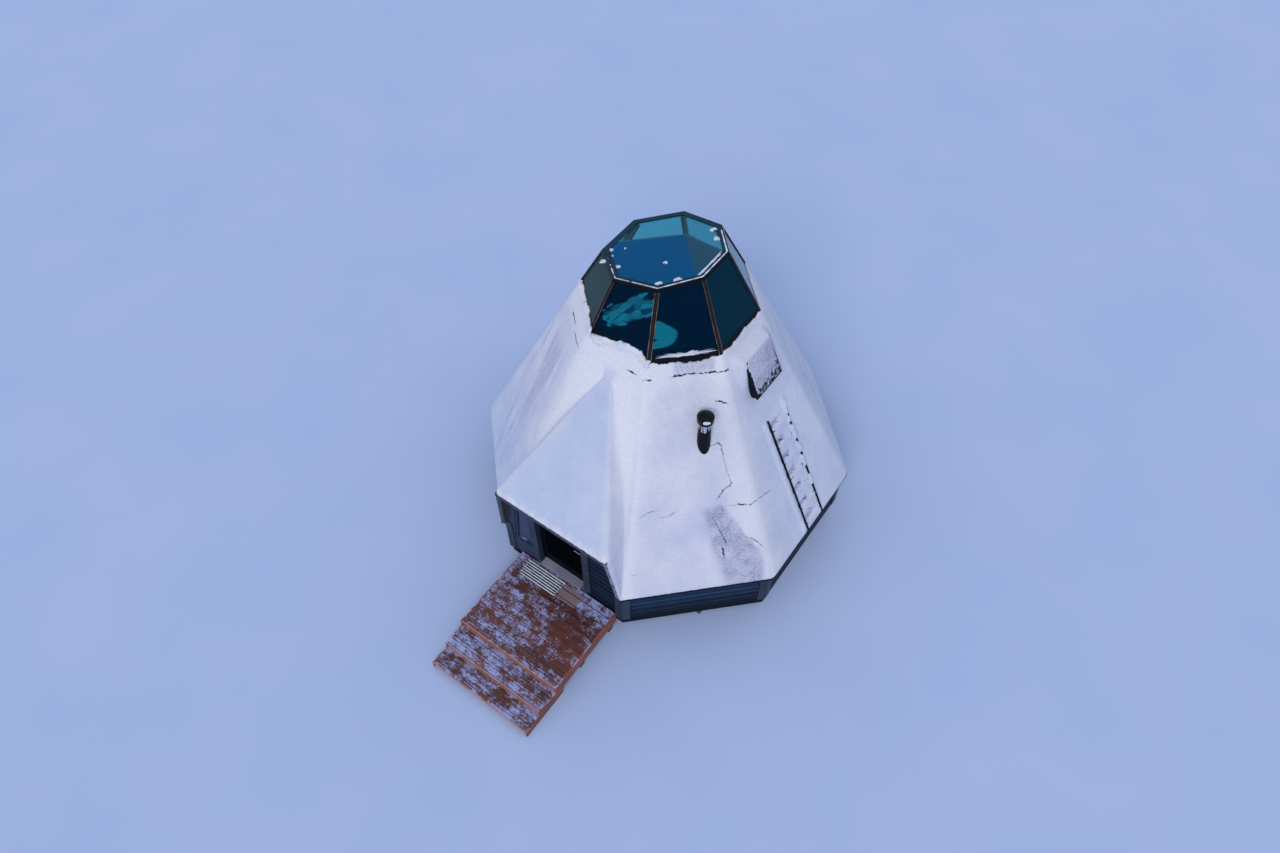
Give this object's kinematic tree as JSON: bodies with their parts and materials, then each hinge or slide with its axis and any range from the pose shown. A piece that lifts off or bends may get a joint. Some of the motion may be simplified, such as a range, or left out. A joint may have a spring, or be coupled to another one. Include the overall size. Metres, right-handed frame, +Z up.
{
  "type": "glass igloo",
  "caption": "Timber hut with an eight-sided steep roof, a glazed cupola with a sloping top, an entrance dormer with a hinged door, a chimney, a roof hatch, a ladder and a stepped deck.",
  "frame": {"origin": "on the ground under the axis of the eight-sided plan, on the foot of the middle ground beam", "axes": "+Z up, -Y out of the entrance, over the deck and steps, +X to the side with the ladder"},
  "size_m": [5.9018, 8.0862, 5.7136],
  "materials": {
    "raw_timber": "rough sawn softwood",
    "dark_timber": "planed boards, charcoal stain",
    "grey_timber": "planed boards, grey paint",
    "floor_timber": "boarded floor, oiled",
    "deck_timber": "red brown stained decking, wet and frosted",
    "door_timber": "painted near black",
    "roof_felt": "mineral surfaced roofing felt",
    "black_metal": "powder coated black",
    "gloss_black_metal": "stove enamel, glossy black",
    "bronze_metal": "bronze anodised",
    "light_metal": "mill finish",
    "steel": "brushed",
    "tinted_glass": "blue tinted insulated panes"
  },
  "bodies": {
    "hut": {"base_frame": "dark_timber", "boot_grate": "light_metal", "chimney_cap": "gloss_black_metal", "chimney_flashing": "black_metal", "chimney_pipe": "black_metal", "corner_boards": "grey_timber", "cupola_apron": "black_metal", "cupola_bar_caps": "bronze_metal", "cupola_bars": "black_metal", "cupola_curb": "black_metal", "cupola_panes": "tinted_glass", "cupola_top_frame": "black_metal", "cupola_top_pane": "tinted_glass", "deck_planks": "deck_timber", "deck_skirts": "deck_timber", "deck_stringers": "raw_timber", "door_casing": "grey_timber", "door_frame": "grey_timber", "dormer_cheeks": "roof_felt", "dormer_roof": "roof_felt", "dormer_trims": "grey_timber", "eave_fascia": "dark_timber", "floor": "floor_timber", "frame_hinges": "steel", "ground_beams": "raw_timber", "hatch_frame": "black_metal", "hatch_pane": "tinted_glass", "hip_rafters": "raw_timber", "roof_back": "roof_felt", "roof_front": "roof_felt", "roof_ladder": "black_metal", "roof_left": "roof_felt", "roof_left_back": "roof_felt", "roof_left_front": "roof_felt", "roof_right": "roof_felt", "roof_right_back": "roof_felt", "roof_right_front": "roof_felt", "step_risers": "deck_timber", "threshold": "deck_timber", "wall_back": "dark_timber", "wall_front_left": "dark_timber", "wall_front_right": "dark_timber", "wall_left": "dark_timber", "wall_left_back": "dark_timber", "wall_left_front": "dark_timber", "wall_over_door": "dark_timber", "wall_right": "dark_timber", "wall_right_back": "dark_timber", "wall_right_front": "dark_timber", "window_frame": "grey_timber", "window_glass": "tinted_glass"},
    "door": {"door_leaf": "door_timber", "door_glass": "tinted_glass", "leaf_hinges": "steel", "door_handles": "steel"}
  },
  "joints": [
    {"name": "door_hinge", "type": "hinge", "parent": "hut", "child": "door", "pos_m": [-0.5125, -2.70655, 1.35], "axis": [0, 0, 1], "range_deg": [0, 90]}
  ]
}
